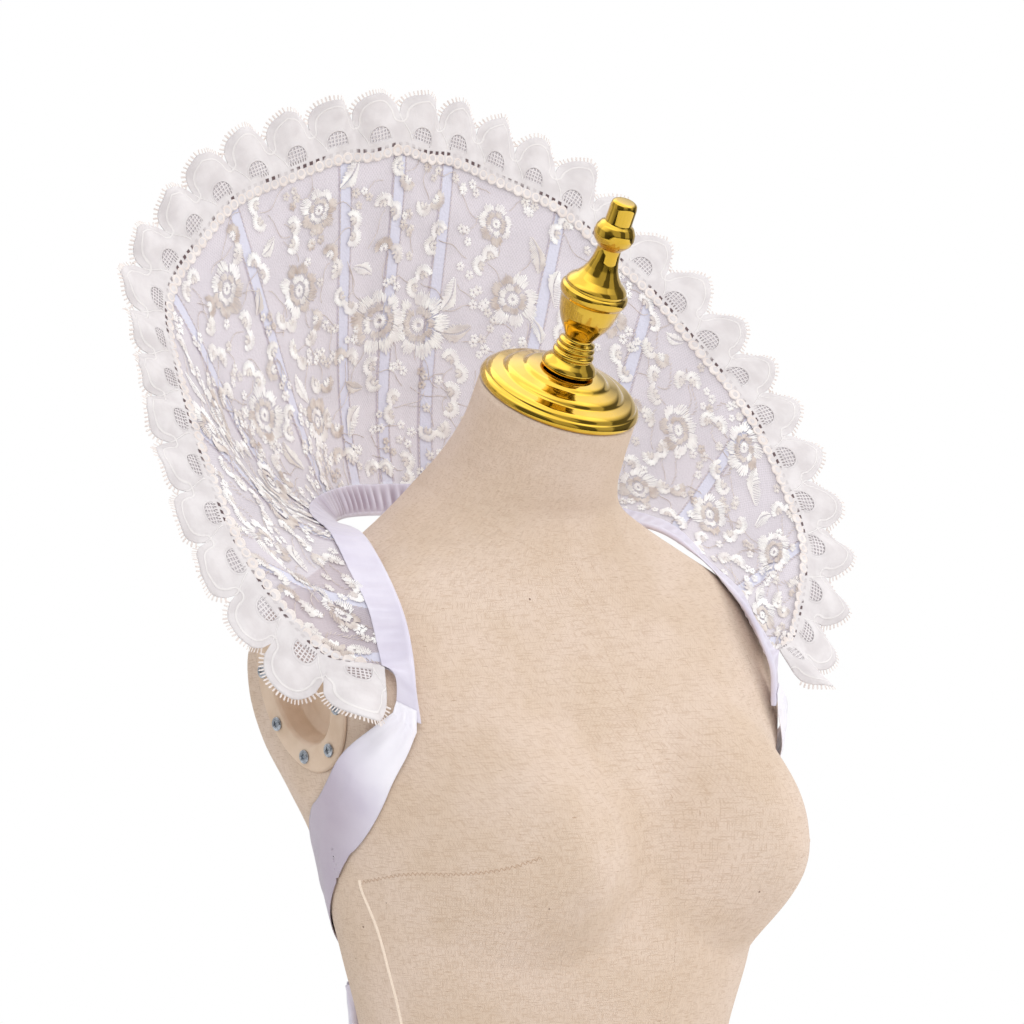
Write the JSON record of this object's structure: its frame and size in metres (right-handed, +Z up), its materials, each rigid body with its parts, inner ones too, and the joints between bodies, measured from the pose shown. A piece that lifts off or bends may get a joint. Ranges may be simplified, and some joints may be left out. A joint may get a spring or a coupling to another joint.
{
  "type": "standing collar on a dress form",
  "caption": "Fan-shaped standing collar of boned embroidered net with a scalloped lace edge and a satin ribbon bow behind, on a limbless dress form.",
  "frame": {"origin": "middle of the flat underside of the dress form", "axes": "+Z up, +X to the wearer's left, -Y to the front"},
  "size_m": [0.5158, 0.2982, 0.8223],
  "materials": {
    "linen": "matt woven linen, beige",
    "gold": "polished gold plate",
    "arm_plastic": "satin tan plastic",
    "screw_steel": "bright steel",
    "net": "sheer lavender-grey net with white and silver embroidery",
    "bone_tape": "pale lavender tape, stitched both sides",
    "lace": "ivory scalloped lace",
    "satin": "white satin with a lavender cast"
  },
  "bodies": {
    "root": {"form_torso": "linen", "form_neck_cap": "gold", "form_finial": "gold", "collar_panel": "net", "bone_centre": "bone_tape", "bone_right_1": "bone_tape", "bone_right_2": "bone_tape", "bone_right_3": "bone_tape", "bone_right_4": "bone_tape", "bone_right_5": "bone_tape", "bone_right_6": "bone_tape", "bone_left_1": "bone_tape", "bone_left_2": "bone_tape", "bone_left_3": "bone_tape", "bone_left_4": "bone_tape", "bone_left_5": "bone_tape", "bone_left_6": "bone_tape", "neck_binding": "satin", "lace_trim": "lace", "bow_knot": "satin", "arm_plate_right": "arm_plastic", "arm_screw_right_1": "screw_steel", "arm_screw_right_2": "screw_steel", "arm_screw_right_3": "screw_steel", "arm_screw_right_4": "screw_steel", "arm_screw_right_5": "screw_steel", "arm_screw_right_6": "screw_steel", "arm_screw_right_7": "screw_steel", "arm_screw_right_8": "screw_steel", "ribbon_right": "satin", "bow_loop_right": "satin", "bow_tail_right": "satin", "arm_plate_left": "arm_plastic", "arm_screw_left_1": "screw_steel", "arm_screw_left_2": "screw_steel", "arm_screw_left_3": "screw_steel", "arm_screw_left_4": "screw_steel", "arm_screw_left_5": "screw_steel", "arm_screw_left_6": "screw_steel", "arm_screw_left_7": "screw_steel", "arm_screw_left_8": "screw_steel", "ribbon_left": "satin", "bow_loop_left": "satin", "bow_tail_left": "satin"}
  },
  "joints": []
}
